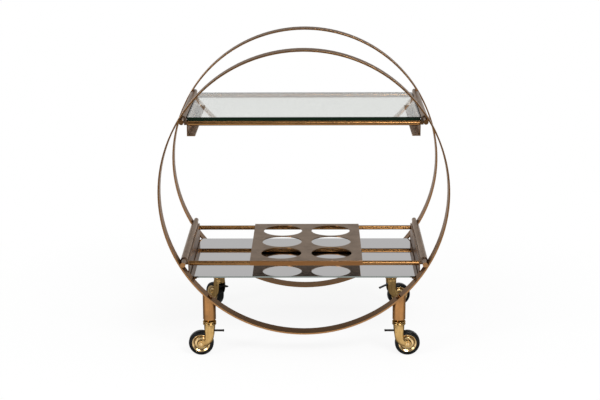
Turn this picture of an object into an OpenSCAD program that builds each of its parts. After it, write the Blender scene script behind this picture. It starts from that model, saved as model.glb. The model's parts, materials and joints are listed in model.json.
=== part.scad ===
// Round-framed dessert trolley.
// Two flat-bar hoops stand one behind the other and are joined by four sleeved side bars.
// Angle rails and round cross rails between them carry a glass top and a mirror shelf.
// A pierced bottle rack slides on the lower cross rails. Four legs end in braked horn casters.
// X runs across the front, Y runs from front to back, Z runs up from the floor.

/* [Hoops] */
// Outer diameter of each hoop
hoop_d = 740; // [680:5:800]
// Radial thickness of the hoop bar
hoop_t = 4; // [3:0.5:6]
// Width of the hoop bar, front to back
hoop_w = 40; // [36:1:60]
// Clear distance between the two hoops
hoop_gap = 368; // [340:2:440]
// Height of the hoops' undersides above the floor
hoop_rise = 60; // [56:1:80]

/* [Side bars] */
// Diameter of the rod inside each side bar
rod_d = 13; // [10:0.5:16]
// Wall of the sleeve around the rod
sleeve_wall = 3; // [2:0.5:4]
// Length of rod that stands proud of each hoop
rod_stub = 2; // [0.5:0.5:6]
// Height of the upper side bars above the hoop centres
upper_bar_h = 189; // [160:1:200]
// Depth of the lower side bars below the hoop centres
lower_bar_h = 182; // [160:1:195]

/* [Shelf frames] */
// Thickness of the angle rails
angle_t = 3; // [2:0.5:4]
// Width of the angle rails' flanges
angle_w = 21; // [16:1:30]
// Height of the upper angle rails
upper_angle_h = 38; // [32:1:46]
// Height of the lower angle rails
lower_angle_h = 51; // [44:1:60]
// Rise of the lower angle rails above their cross rails
lower_web_rise = 4; // [0:1:8]
// Diameter of the round cross rails
rail_d = 12; // [10:0.5:14]
// Distance from the hoops to the cross rails' centres
rail_inset = 8; // [8:0.5:20]
// Drop from the upper side bars to the upper cross rails
upper_rail_drop = 11.5; // [10:0.5:14]
// Drop from the lower side bars to the lower cross rails
lower_rail_drop = 9; // [8:0.5:14]

/* [Shelves] */
// Thickness of the glass top
glass_t = 10; // [6:0.5:12]
// Gap from the glass top's ends to the hoops
glass_end_gap = 4; // [1:0.5:10]
// Radius of the glass top's corners
glass_corner_r = 3; // [1:0.5:10]
// Thickness of the mirror shelf
mirror_t = 4; // [3:0.5:6]
// Gap from the mirror shelf's sides to the angle rails
mirror_side_gap = 2.2; // [0.5:0.1:4]
// Length of the mirror shelf's cut corners
mirror_corner = 9; // [6:1:30]

/* [Bottle rack] */
// Width of the rack plate, left to right
rack_w = 291; // [280:1:330]
// Thickness of the rack sheet
rack_t = 2.5; // [1.5:0.5:4]
// Height of the folded lips
rack_lip = 13; // [8:0.5:18]
// How far the rack stands right of centre
rack_offset = 5.5; // [-20:0.5:20]
// Diameter of a bottle hole
hole_d = 106; // [80:1:108]
// Distance between bottle holes across the rack
hole_pitch_x = 132; // [124:1:140]
// Distance between bottle holes front to back
hole_pitch_y = 112; // [110:1:116]

/* [Legs] */
// Diameter of the legs
leg_d = 33.5; // [30:0.5:36]
// Distance from a hoop's side to each leg's axis
leg_inset = 124.5; // [110:0.5:160]
// Height of the legs' lower ends above the floor
leg_foot_h = 97; // [95:0.5:106]

/* [Casters] */
// Diameter of the wheel over its tyre
wheel_d = 65; // [60:1:67]
// Width of the tyre
tyre_w = 20; // [16:1:21]
// Radial thickness of the tyre
tyre_t = 9; // [6:0.5:12]
// Offset of the wheel behind its swivel axis
trail = 22.5; // [20:0.5:24]
// Thickness of the two cheeks of the horn
cheek_t = 3.7; // [3:0.1:5]
// Diameter of the axle
axle_d = 6; // [5:0.5:8]
// Diameter of the swivel stem
stem_d = 10; // [8:0.5:12]
// Reach of the brake lever from its pin
lever_reach = 30; // [24:1:40]
// Thickness of the brake lever
lever_t = 3; // [2:0.5:4]
// Angle that the brake lever drops to lock the wheel
lever_drop = 22; // [10:1:24]
// Heading of each caster: front left, front right, rear left, rear right
front_left_heading = 180; // [0:1:360]
front_right_heading = 0; // [0:1:360]
rear_left_heading = 130; // [90:1:180]
rear_right_heading = 12; // [0:1:90]

/* [Hidden] */

$fn = 96;

// Colours
bronze = "#7d6450";
warm_brass = "#a8814f";
bright_brass = "#c9a25a";
clear_glass = "#bcd6cb";
mirror_grey = "#b9bbbd";
rubber_black = "#17181b";
lever_black = "#221d19";

// Small fits
running = 0.05;      // radial clearance of a shaft in its bore
seat_gap = 0.2;      // gap where a curved face lies on another piece
slide_gap = 0.3;     // gap of a piece that slides or turns past another
eps = 0.01;

// Hoops
hoop_r = hoop_d / 2;
hoop_r_in = hoop_r - hoop_t;
centre_z = hoop_rise + hoop_r;
hoop_face = hoop_gap / 2;
hoop_mid = hoop_face + hoop_w / 2;
hoop_back = hoop_face + hoop_w;

// Side bars lie against the insides of the hoops
rod_r = rod_d / 2;
sleeve_r = rod_r + running + sleeve_wall;
bar_r = hoop_r_in - rod_r - seat_gap;
upper_bar_z = upper_bar_h;
lower_bar_z = -lower_bar_h;
function bar_x(z) = sqrt(bar_r * bar_r - z * z);

// Each shelf frame fits between the sleeves at its own height
frame_side_gap = 0.6;
function frame_x(bar_z) = bar_x(bar_z) - sleeve_r - frame_side_gap;
function web_in(bar_z) = frame_x(bar_z) - angle_t;
rail_r = rail_d / 2;
rail_y = hoop_face - rail_inset;
upper_rail_z = upper_bar_z - upper_rail_drop;
lower_rail_z = lower_bar_z - lower_rail_drop;
upper_web_top = upper_rail_z + rail_r + seat_gap;
lower_web_top = lower_rail_z + rail_r + seat_gap + lower_web_rise;

// Lugs that join the angle rails to the sleeves
lug_len = 12;
lug_h = 12;
lug_inset = 14;
lug_short = 2;

// Shelves
glass_side_gap = 0.5;
glass_x = frame_x(upper_bar_z) - glass_side_gap;
glass_y = hoop_face - glass_end_gap;
mirror_x = web_in(lower_bar_z) - mirror_side_gap;
mirror_end_gap = 1;
mirror_y = hoop_face - mirror_end_gap;
mirror_top = lower_web_top - lower_angle_h + angle_t + mirror_t;

// Bottle rack hooks over the lower cross rails
rack_under = lower_rail_z + rail_r + slide_gap;
lip_in = rail_y + rail_r + slide_gap;
lip_out = lip_in + rack_t;
rack_top = rack_under + rack_t;

// Screws
hoop_screw_d = 6;
hoop_screw_head_d = 11;
hoop_screw_len = 12;
rail_screw_d = 5;
rail_screw_head_d = 8;
rail_screw_head_h = 1.6;
rail_screw_len = 16;
leg_screw_d = 8;
leg_screw_head_d = 13;
leg_screw_head_h = 3.5;
leg_screw_len = 20;
screw_slack = 0.2;
head_sink = 0.3;
screw_tip_room = 0.5;
bore_past_hoop = 6;
hoop_socket_r = 2.3;
hoop_socket_depth = 2;
rail_socket_r = 1.8;
rail_socket_depth = 1.2;
leg_socket_r = 2.9;
leg_socket_depth = 2;
driver_slot_w = 1.2;
driver_slot_depth = 0.8;
leg_screw_seat = hoop_r_in - head_sink;

// Legs
leg_r = leg_d / 2;
leg_x = hoop_r - leg_inset;
leg_tilt = asin(leg_x / hoop_r);

// Casters, with the stem on the Z axis and the wheel towards +X
wheel_r = wheel_d / 2;
hub_r = wheel_r - tyre_t;
hub_half = tyre_w / 2 + 0.5;
slot_half = hub_half + 0.8;
slot_r = wheel_r + 1.7;
horn_half = slot_half + cheek_t;
axle_r = axle_d / 2;
axle_head_r = axle_r + 2.4;
axle_head_h = 2;
stem_r = stem_d / 2;
stem_neck_r = 8.5;
stem_neck_h = 5.5;
stem_in_leg = 30;
bead_r = 17.5;
cap_bead_tube_r = 1.7;
cap_bead_z = leg_foot_h - stem_neck_h - cap_bead_tube_r;
groove_h = 0.9;
groove_r = 15;
crown_bead_tube_r = 3;
crown_top = cap_bead_z - cap_bead_tube_r - groove_h;
crown_bead_z = crown_top - crown_bead_tube_r;
crown_end = crown_bead_z - crown_bead_tube_r;
neck_half = 14.4;
waist_half = 13.2;
tip_half = 9.5;
stem_head_r = stem_r + 2.5;
stem_head_h = 3;

// Brake lever
brake_pin_r = 2;
pin_x = -7.5;
pin_over_wheel = 32.5;
pin_z = wheel_r + pin_over_wheel;
lever_half = 4;
lever_roll_r = 2.1;
lever_boss_r = 4;
pin_to_wheel = norm([trail - pin_x, pin_z - wheel_r]);
shoe_r = 2;
shoe_gap = 0.5;
shoe_reach = pin_to_wheel - wheel_r - shoe_gap - shoe_r;
shoe_lock_angle = -atan2(pin_z - wheel_r, trail - pin_x);
lever_boss_half = slot_half - 0.6;
shoe_half = tyre_w / 2 - 3;
channel_top = pin_z + lever_boss_r + 1;
channel_depth = 2;
stem_head_room = 1.2;
crown_floor = channel_top + stem_head_h + stem_head_room;

// The origin is on the floor, midway between the foremost and rearmost points
tyre_round = 4;
function tyre_reach(a) = (wheel_r - tyre_round) * abs(sin(a))
    + (tyre_w / 2 - tyre_round) * abs(cos(a)) + tyre_round;
rear_reach = max(hoop_back + rod_stub, hoop_mid + trail * sin(rear_left_heading)
    + tyre_reach(rear_left_heading));
front_reach = hoop_back + rod_stub;
origin_y = (rear_reach - front_reach) / 2;

// Puts what is drawn round the hoops' common centre into the trolley's own frame
module from_centre() {
    translate([0, -origin_y, centre_z]) children();
}

// Puts what is drawn over the floor point midway between the hoops into the trolley's own frame
module from_floor() {
    translate([0, -origin_y, 0]) children();
}

// A rod along Y from y0 to y1
module y_rod(r, y0, y1) {
    translate([0, y0, 0]) rotate([-90, 0, 0]) cylinder(r = r, h = y1 - y0);
}

// A rod along X from x0 to x1
module x_rod(r, x0, x1) {
    translate([x0, 0, 0]) rotate([0, 90, 0]) cylinder(r = r, h = x1 - x0);
}

// Outward radial direction of a side bar: local +Z points away from the hoop centre
module at_bar_screw(side, bar_z, y) {
    translate([0, y, 0]) rotate([0, side * atan2(bar_x(bar_z), bar_z), 0]) children();
}

// Outward radial direction over a leg: local +Z points from the hoop centre to the leg
module at_leg_screw(side, y) {
    translate([0, y, 0]) rotate([0, side * (180 - leg_tilt), 0]) children();
}

module screw_sites() {
    for (side = [-1, 1], bar_z = [upper_bar_z, lower_bar_z])
        at_bar_screw(side, bar_z, 0) children();
}

// Countersunk screw, with its flat head at the hoop's outer face
module csk_screw(slack, len) {
    head_h = (hoop_screw_head_d - hoop_screw_d) / 2;
    head_top = hoop_r - head_sink + slack;
    translate([0, 0, head_top - head_h])
        cylinder(r1 = hoop_screw_d / 2 + slack, r2 = hoop_screw_head_d / 2 + slack, h = head_h);
    translate([0, 0, head_top - len])
        cylinder(r = hoop_screw_d / 2 + slack, h = len);
}

module hoop() {
    difference() {
        rotate([90, 0, 0]) difference() {
            cylinder(r = hoop_r, h = hoop_w, center = true, $fn = 240);
            cylinder(r = hoop_r_in, h = hoop_w + 2, center = true, $fn = 240);
        }
        screw_sites() {
            csk_screw(screw_slack, hoop_t + bore_past_hoop);
            translate([0, 0, hoop_r - head_sink])
                cylinder(r = hoop_screw_head_d / 2 + screw_slack, h = 2);
        }
        for (side = [-1, 1]) at_leg_screw(side, 0) translate([0, 0, hoop_r_in - 4])
            cylinder(r = leg_screw_d / 2 + screw_slack, h = 3 * hoop_t);
    }
}

module front_hoop() from_centre() color(bronze) translate([0, -hoop_mid, 0]) hoop();
module rear_hoop() from_centre() color(bronze) translate([0, hoop_mid, 0]) hoop();

// The screw bores in a rod leave a web of metal at the rod's far side
module rod(side, bar_z) {
    from_centre() color(warm_brass) difference() {
        translate([side * bar_x(bar_z), 0, bar_z])
            y_rod(rod_r, -hoop_back - rod_stub, hoop_back + rod_stub);
        for (y = [-hoop_mid, hoop_mid]) at_bar_screw(side, bar_z, y)
            translate([0, 0, hoop_r - hoop_screw_len - screw_tip_room])
                cylinder(r = hoop_screw_d / 2 + running, h = hoop_screw_len);
    }
}

module rod_upper_left() rod(-1, upper_bar_z);
module rod_upper_right() rod(1, upper_bar_z);
module rod_lower_left() rod(-1, lower_bar_z);
module rod_lower_right() rod(1, lower_bar_z);

module sleeve(side, bar_z) {
    from_centre() color(bronze) translate([side * bar_x(bar_z), 0, bar_z]) difference() {
        y_rod(sleeve_r, -hoop_face, hoop_face);
        y_rod(rod_r + running, -hoop_face - 1, hoop_face + 1);
    }
}

module sleeve_upper_left() sleeve(-1, upper_bar_z);
module sleeve_upper_right() sleeve(1, upper_bar_z);
module sleeve_lower_left() sleeve(-1, lower_bar_z);
module sleeve_lower_right() sleeve(1, lower_bar_z);

// Angle rail drawn on the right-hand side: an upright web, a flange turned in below it,
// and two lugs that meet the sleeve
module angle_profile(bar_z, web_top, angle_h, rail_z) {
    sleeve_x = bar_x(bar_z);
    web_out = frame_x(bar_z);
    lug_top = rail_z + rail_r + seat_gap;
    difference() {
        union() {
            translate([web_in(bar_z), -hoop_face, web_top - angle_h])
                cube([angle_t, hoop_gap, angle_h]);
            translate([web_out - angle_w, -hoop_face, web_top - angle_h])
                cube([angle_w, hoop_gap, angle_t]);
            for (end = [-1, 1])
                translate([web_out - eps, end * (hoop_face - lug_inset - lug_len / 2) - lug_len / 2,
                        lug_top - lug_h])
                    cube([sleeve_x - lug_short - web_out, lug_len, lug_h]);
        }
        translate([sleeve_x, 0, bar_z]) y_rod(sleeve_r + seat_gap, -hoop_face, hoop_face);
        for (end = [-1, 1]) translate([0, end * rail_y, rail_z])
            x_rod(rail_screw_d / 2 + screw_slack, web_in(bar_z) - 1, web_out + 1);
    }
}

module angle_rail(side, bar_z, web_top, angle_h, rail_z) {
    from_centre() color(bronze) mirror([side < 0 ? 1 : 0, 0, 0])
        angle_profile(bar_z, web_top, angle_h, rail_z);
}

module angle_upper_left() angle_rail(-1, upper_bar_z, upper_web_top, upper_angle_h, upper_rail_z);
module angle_upper_right() angle_rail(1, upper_bar_z, upper_web_top, upper_angle_h, upper_rail_z);
module angle_lower_left() angle_rail(-1, lower_bar_z, lower_web_top, lower_angle_h, lower_rail_z);
module angle_lower_right() angle_rail(1, lower_bar_z, lower_web_top, lower_angle_h, lower_rail_z);

// Cross rail with a tapped hole in each end
module cross_rail(end, bar_z, rail_z) {
    rail_half = web_in(bar_z);
    from_centre() color(warm_brass) translate([0, end * rail_y, rail_z]) difference() {
        x_rod(rail_r, -rail_half, rail_half);
        for (side = [-1, 1]) mirror([side < 0 ? 1 : 0, 0, 0])
            x_rod(rail_screw_d / 2 + running, rail_half - rail_screw_len, rail_half + 1);
    }
}

module rail_upper_front() cross_rail(-1, upper_bar_z, upper_rail_z);
module rail_upper_rear() cross_rail(1, upper_bar_z, upper_rail_z);
module rail_lower_front() cross_rail(-1, lower_bar_z, lower_rail_z);
module rail_lower_rear() cross_rail(1, lower_bar_z, lower_rail_z);

module glass_top() {
    from_centre() color(clear_glass, 0.4) translate([0, 0, upper_web_top]) difference() {
        translate([-glass_x, -glass_y, 0]) cube([2 * glass_x, 2 * glass_y, glass_t]);
        for (side = [-1, 1], end = [-1, 1])
            translate([side * (glass_x - glass_corner_r), end * (glass_y - glass_corner_r), -1])
                mirror([side < 0 ? 1 : 0, 0, 0]) mirror([0, end < 0 ? 1 : 0, 0]) difference() {
                    cube([glass_corner_r + 1, glass_corner_r + 1, glass_t + 2]);
                    translate([0, 0, -1]) cylinder(r = glass_corner_r, h = glass_t + 4, $fn = 48);
                }
    }
}

module mirror_shelf() {
    from_centre() color(mirror_grey) translate([0, 0, mirror_top - mirror_t])
        linear_extrude(mirror_t) polygon([
            for (corner = [[-1, -1], [1, -1], [1, 1], [-1, 1]], step = [0, 1])
                let (first = corner[0] * corner[1] > 0 ? step == 0 : step == 1)
                    first
                        ? [corner[0] * mirror_x, corner[1] * (mirror_y - mirror_corner)]
                        : [corner[0] * (mirror_x - mirror_corner), corner[1] * mirror_y]
        ]);
}

// Rack section in Y and Z: a plate with a lip folded down over each cross rail
module rack_section() {
    difference() {
        union() {
            translate([-lip_out, rack_top - rack_lip]) square([2 * lip_out, rack_lip - rack_t]);
            translate([-lip_in, rack_under]) square([2 * lip_in, rack_t]);
            for (end = [-1, 1]) translate([end * lip_in, rack_under]) circle(r = rack_t, $fn = 48);
        }
        translate([-lip_in, rack_top - rack_lip - 1])
            square([2 * lip_in, rack_lip - rack_t + 1]);
    }
}

module bottle_rack() {
    from_centre() color(bronze) difference() {
        translate([rack_offset - rack_w / 2, 0, 0]) rotate([90, 0, 90])
            linear_extrude(rack_w) rack_section();
        for (column = [-0.5, 0.5], row = [-1, 0, 1])
            translate([rack_offset + column * hole_pitch_x, row * hole_pitch_y, rack_under - 1])
                cylinder(d = hole_d, h = rack_t + 2, $fn = 120);
    }
}

// Leg with its head cut to the hoop's curve and a hole for the swivel stem
module leg(side, end) {
    from_floor() color(warm_brass) difference() {
        translate([side * leg_x, end * hoop_mid, leg_foot_h])
            cylinder(r = leg_r, h = centre_z - leg_foot_h - hoop_r_in * cos(leg_tilt) + leg_r);
        translate([0, end * hoop_mid, centre_z])
            y_rod(hoop_r + seat_gap, -leg_d, leg_d);
        translate([side * leg_x, end * hoop_mid, leg_foot_h - 1])
            cylinder(r = stem_r + running, h = stem_in_leg + 2);
        translate([0, 0, centre_z]) at_leg_screw(side, end * hoop_mid)
            translate([0, 0, hoop_r - 1])
                cylinder(r = leg_screw_d / 2 + running, h = leg_screw_len - hoop_t + 2);
    }
}

module leg_front_left() leg(-1, -1);
module leg_front_right() leg(1, -1);
module leg_rear_left() leg(-1, 1);
module leg_rear_right() leg(1, 1);

module hoop_screws() {
    from_centre() color(warm_brass)
        for (y = [-hoop_mid, hoop_mid]) translate([0, y, 0]) screw_sites() difference() {
            csk_screw(0, hoop_screw_len - 1);
            translate([0, 0, hoop_r - head_sink - hoop_socket_depth])
                cylinder(r = hoop_socket_r, h = hoop_socket_depth + 1, $fn = 6);
        }
}

module rail_screws() {
    from_centre() color(warm_brass)
        for (level = [[upper_bar_z, upper_rail_z], [lower_bar_z, lower_rail_z]])
            for (side = [-1, 1], end = [-1, 1]) let (web_out = frame_x(level[0]))
                mirror([side < 0 ? 1 : 0, 0, 0]) translate([0, end * rail_y, level[1]]) difference() {
                    union() {
                        x_rod(rail_screw_d / 2, web_out - rail_screw_len + 1, web_out);
                        x_rod(rail_screw_head_d / 2, web_out, web_out + rail_screw_head_h);
                    }
                    translate([web_out + rail_screw_head_h - rail_socket_depth, 0, 0])
                        rotate([0, 90, 0]) cylinder(r = rail_socket_r, h = 3, $fn = 6);
                }
}

module leg_screws() {
    from_centre() color(bright_brass)
        for (side = [-1, 1], end = [-1, 1]) at_leg_screw(side, end * hoop_mid) difference() {
            union() {
                translate([0, 0, leg_screw_seat - leg_screw_head_h])
                    cylinder(r = leg_screw_head_d / 2, h = leg_screw_head_h);
                translate([0, 0, leg_screw_seat - eps])
                    cylinder(r = leg_screw_d / 2, h = leg_screw_len);
            }
            translate([0, 0, leg_screw_seat - leg_screw_head_h - 1])
                cylinder(r = leg_socket_r, h = leg_socket_depth + 1, $fn = 6);
        }
}

// Places a caster's pieces: stem under its leg, wheel turned to its heading
module at_caster(side, end, heading) {
    from_floor() translate([side * leg_x, end * hoop_mid, 0]) rotate([0, 0, heading]) children();
}

// Round-edged disc of the caster's outer radius
module bead(z, tube_r) {
    translate([0, 0, z - tube_r]) cylinder(r = bead_r - tube_r, h = 2 * tube_r);
    translate([0, 0, z]) rotate_extrude() translate([bead_r - tube_r, 0])
        circle(r = tube_r, $fn = 48);
}

// Swivel stem: neck, rounded bearing cap, shaft and headed lower end
module stem() {
    color(bright_brass) union() {
        translate([0, 0, cap_bead_z]) cylinder(r = stem_neck_r, h = leg_foot_h - cap_bead_z);
        bead(cap_bead_z, cap_bead_tube_r);
        translate([0, 0, crown_top + slide_gap])
            cylinder(r = groove_r, h = cap_bead_z - crown_top - slide_gap);
        translate([0, 0, crown_floor - slide_gap])
            cylinder(r = stem_r, h = leg_foot_h + stem_in_leg - crown_floor + slide_gap);
        translate([0, 0, crown_floor - slide_gap - stem_head_h])
            cylinder(r = stem_head_r, h = stem_head_h);
    }
}

module stem_front_left() at_caster(-1, -1, 0) stem();
module stem_front_right() at_caster(1, -1, 0) stem();
module stem_rear_left() at_caster(-1, 1, 0) stem();
module stem_rear_right() at_caster(1, 1, 0) stem();

// The horn runs straight down from the crown, then takes a quarter turn to the axle.
horn_square = 0.55;
// Each row: height, half-width across the axle, half-width along the axle, squareness
horn_straight = [
    [crown_bead_z, neck_half + 0.4, neck_half + 0.4, 1],
    [crown_end - 1, neck_half, neck_half + 0.3, 0.9],
    [crown_floor, neck_half - 0.2, horn_half, 0.72],
    [pin_z, waist_half + 0.4, horn_half, horn_square],
    [wheel_r + trail + 1, waist_half, horn_half, horn_square]
];
horn_turns = 9;
horn_sides = 32;
function horn_frame(i) = i < len(horn_straight)
    ? [0, horn_straight[i][0], 0, horn_straight[i][1], horn_straight[i][2], horn_straight[i][3]]
    : let (t = (i - len(horn_straight)) / (horn_turns - 1))
        [trail * (1 - cos(90 * t)), wheel_r + trail * (1 - sin(90 * t)), 90 * t,
            waist_half + (tip_half - waist_half) * t, horn_half, horn_square];
function signed_pow(v, p) = sign(v) * pow(abs(v), p);
// One ring of the horn, a soft-cornered rectangle square to the centre line
function horn_ring(i) = let (f = horn_frame(i)) [
    for (k = [0:horn_sides - 1]) let (
        a = 360 * (k + 0.5) / horn_sides,
        u = f[3] * signed_pow(cos(a), f[5]),
        v = f[4] * signed_pow(sin(a), f[5])
    ) [f[0] + u * cos(f[2]), v, f[1] + u * sin(f[2])]
];

module horn_sweep() {
    rings = len(horn_straight) + horn_turns;
    points = [for (i = [0:rings - 1]) each horn_ring(i)];
    walls = [
        for (i = [0:rings - 2], k = [0:horn_sides - 1])
            let (j = (k + 1) % horn_sides, low = i * horn_sides, high = low + horn_sides)
                each [[low + k, low + j, high + j], [low + k, high + j, high + k]]
    ];
    ends = [
        [for (k = [0:horn_sides - 1]) horn_sides - 1 - k],
        [for (k = [0:horn_sides - 1]) (rings - 1) * horn_sides + k]
    ];
    polyhedron(points = points, faces = concat(walls, ends), convexity = 6);
}

module horn() {
    color(bright_brass) difference() {
        union() {
            horn_sweep();
            bead(crown_bead_z, crown_bead_tube_r);
            translate([trail, 0, wheel_r]) for (end = [0, 1]) mirror([0, end, 0]) {
                y_rod(tip_half, 0, horn_half - 1);
                translate([0, horn_half - 1, 0]) rotate([-90, 0, 0])
                    cylinder(r1 = tip_half, r2 = tip_half - 1, h = 1);
            }
        }
        // Room for the wheel
        translate([trail, 0, wheel_r]) y_rod(slot_r, -slot_half, slot_half);
        // Bore for the stem and room for its head
        translate([0, 0, crown_floor - 1]) cylinder(r = stem_r + running, h = crown_top - crown_floor + 2);
        translate([0, 0, channel_top - 1])
            cylinder(r = stem_head_r + 0.6, h = crown_floor - channel_top + 1);
        // Axle bore
        translate([trail, 0, wheel_r]) y_rod(axle_r, -horn_half - 1, horn_half + 1);
        // The back of the horn is an open channel, which shows the tyre and lets the lever out
        translate([-neck_half - 4, -slot_half, 0])
            cube([neck_half + 4 + channel_depth, 2 * slot_half, channel_top]);
        // Bore for the brake pin
        translate([pin_x, 0, pin_z]) y_rod(brake_pin_r, -horn_half - 1, horn_half + 1);
    }
}

module horn_front_left() at_caster(-1, -1, front_left_heading) horn();
module horn_front_right() at_caster(1, -1, front_right_heading) horn();
module horn_rear_left() at_caster(-1, 1, rear_left_heading) horn();
module horn_rear_right() at_caster(1, 1, rear_right_heading) horn();

module axle() {
    color(bright_brass) translate([trail, 0, wheel_r]) {
        y_rod(axle_r - running, -horn_half, horn_half);
        for (end = [0, 1]) mirror([0, end, 0]) difference() {
            translate([0, horn_half, 0]) rotate([-90, 0, 0])
                cylinder(r1 = axle_head_r, r2 = axle_head_r - 1, h = axle_head_h);
            translate([-driver_slot_w / 2, horn_half + axle_head_h - driver_slot_depth, -axle_head_r])
                cube([driver_slot_w, 2, 2 * axle_head_r]);
        }
    }
}

module axle_front_left() at_caster(-1, -1, front_left_heading) axle();
module axle_front_right() at_caster(1, -1, front_right_heading) axle();
module axle_rear_left() at_caster(-1, 1, rear_left_heading) axle();
module axle_rear_right() at_caster(1, 1, rear_right_heading) axle();

// Wheel centre with stepped rings: boss, groove, web, groove and rim
module hub() {
    boss_r = axle_r + 4.5;
    groove_w = 1.8;
    web_half = hub_half - 1.6;
    groove_half = hub_half - 3;
    ring_r = hub_r - 6;
    color(bright_brass) translate([trail, 0, wheel_r]) difference() {
        union() {
            y_rod(hub_r, -groove_half, groove_half);
            y_rod(boss_r, -hub_half, hub_half);
            difference() {
                y_rod(ring_r, -web_half, web_half);
                y_rod(boss_r + groove_w, -web_half - 1, web_half + 1);
            }
            difference() {
                y_rod(hub_r, -hub_half + 0.5, hub_half - 0.5);
                y_rod(ring_r + groove_w, -hub_half - 1, hub_half + 1);
            }
        }
        y_rod(axle_r + running, -hub_half - 1, hub_half + 1);
    }
}

module hub_front_left() at_caster(-1, -1, front_left_heading) hub();
module hub_front_right() at_caster(1, -1, front_right_heading) hub();
module hub_rear_left() at_caster(-1, 1, rear_left_heading) hub();
module hub_rear_right() at_caster(1, 1, rear_right_heading) hub();

// Tyre section: square at the rim, rounded at the tread
module tyre_section() {
    bottom = hub_r + running;
    straight = wheel_r - tyre_round;
    translate([bottom, -tyre_w / 2]) square([straight - bottom, tyre_w]);
    translate([straight - eps, -tyre_w / 2 + tyre_round])
        square([tyre_round + eps, tyre_w - 2 * tyre_round]);
    for (end = [-1, 1]) translate([straight, end * (tyre_w / 2 - tyre_round)])
        circle(r = tyre_round, $fn = 48);
}

module tyre() {
    color(rubber_black) translate([trail, 0, wheel_r]) rotate([-90, 0, 0])
        rotate_extrude($fn = 120) tyre_section();
}

module tyre_front_left() at_caster(-1, -1, front_left_heading) tyre();
module tyre_front_right() at_caster(1, -1, front_right_heading) tyre();
module tyre_rear_left() at_caster(-1, 1, rear_left_heading) tyre();
module tyre_rear_right() at_caster(1, 1, rear_right_heading) tyre();

// Brake lever with a rolled tip, turned down by the given angle from its raised position
module brake(down) {
    shoe_angle = shoe_lock_angle - lever_drop;
    color(lever_black) translate([pin_x, 0, pin_z]) rotate([0, -down, 0]) difference() {
        union() {
            y_rod(lever_boss_r, -lever_boss_half, lever_boss_half);
            translate([-lever_reach + lever_roll_r, -lever_half, -lever_t / 2])
                cube([lever_reach - lever_roll_r, 2 * lever_half, lever_t]);
            translate([-lever_reach + lever_roll_r, 0, 0])
                y_rod(lever_roll_r, -lever_half, lever_half);
            rotate([0, -shoe_angle, 0]) {
                translate([0, -shoe_half, -shoe_r]) cube([shoe_reach, 2 * shoe_half, 2 * shoe_r]);
                translate([shoe_reach, 0, 0]) y_rod(shoe_r, -shoe_half, shoe_half);
            }
        }
        y_rod(brake_pin_r + running, -lever_boss_half - 1, lever_boss_half + 1);
    }
}

module brake_front_left() at_caster(-1, -1, front_left_heading) brake(0);
module brake_front_right() at_caster(1, -1, front_right_heading) brake(0);
module brake_rear_left() at_caster(-1, 1, rear_left_heading) brake(0);
module brake_rear_right() at_caster(1, 1, rear_right_heading) brake(lever_drop);

module brake_pin() {
    color(bright_brass) translate([pin_x, 0, pin_z])
        y_rod(brake_pin_r - running, -horn_half + 1, horn_half - 1);
}

module brake_pin_front_left() at_caster(-1, -1, front_left_heading) brake_pin();
module brake_pin_front_right() at_caster(1, -1, front_right_heading) brake_pin();
module brake_pin_rear_left() at_caster(-1, 1, rear_left_heading) brake_pin();
module brake_pin_rear_right() at_caster(1, 1, rear_right_heading) brake_pin();

front_hoop();
rear_hoop();
rod_upper_left();
rod_upper_right();
rod_lower_left();
rod_lower_right();
sleeve_upper_left();
sleeve_upper_right();
sleeve_lower_left();
sleeve_lower_right();
angle_upper_left();
angle_upper_right();
angle_lower_left();
angle_lower_right();
rail_upper_front();
rail_upper_rear();
rail_lower_front();
rail_lower_rear();
glass_top();
mirror_shelf();
bottle_rack();
leg_front_left();
leg_front_right();
leg_rear_left();
leg_rear_right();
hoop_screws();
rail_screws();
leg_screws();
stem_front_left();
stem_front_right();
stem_rear_left();
stem_rear_right();
horn_front_left();
horn_front_right();
horn_rear_left();
horn_rear_right();
axle_front_left();
axle_front_right();
axle_rear_left();
axle_rear_right();
hub_front_left();
hub_front_right();
hub_rear_left();
hub_rear_right();
tyre_front_left();
tyre_front_right();
tyre_rear_left();
tyre_rear_right();
brake_front_left();
brake_front_right();
brake_rear_left();
brake_rear_right();
brake_pin_front_left();
brake_pin_front_right();
brake_pin_rear_left();
brake_pin_rear_right();
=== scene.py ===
import json
import math

import bmesh
import bpy
from mathutils import Matrix, Vector


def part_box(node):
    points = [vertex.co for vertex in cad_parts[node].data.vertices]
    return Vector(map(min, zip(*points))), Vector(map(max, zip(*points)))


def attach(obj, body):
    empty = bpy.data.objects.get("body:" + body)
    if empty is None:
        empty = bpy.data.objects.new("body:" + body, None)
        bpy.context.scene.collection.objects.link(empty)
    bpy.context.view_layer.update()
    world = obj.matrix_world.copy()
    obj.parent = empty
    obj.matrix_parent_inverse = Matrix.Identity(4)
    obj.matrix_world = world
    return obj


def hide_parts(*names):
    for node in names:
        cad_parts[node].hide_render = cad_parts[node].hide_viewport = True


bl_info = {
    "name": "Dessert Trolley Finish",
    "version": (1, 0, 0),
    "blender": (4, 5, 0),
    "location": "3D View > Sidebar > Trolley",
    "description": "Gives the round-framed dessert trolley its brass, glass, mirror and rubber",
    "category": "3D View",
}

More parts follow.
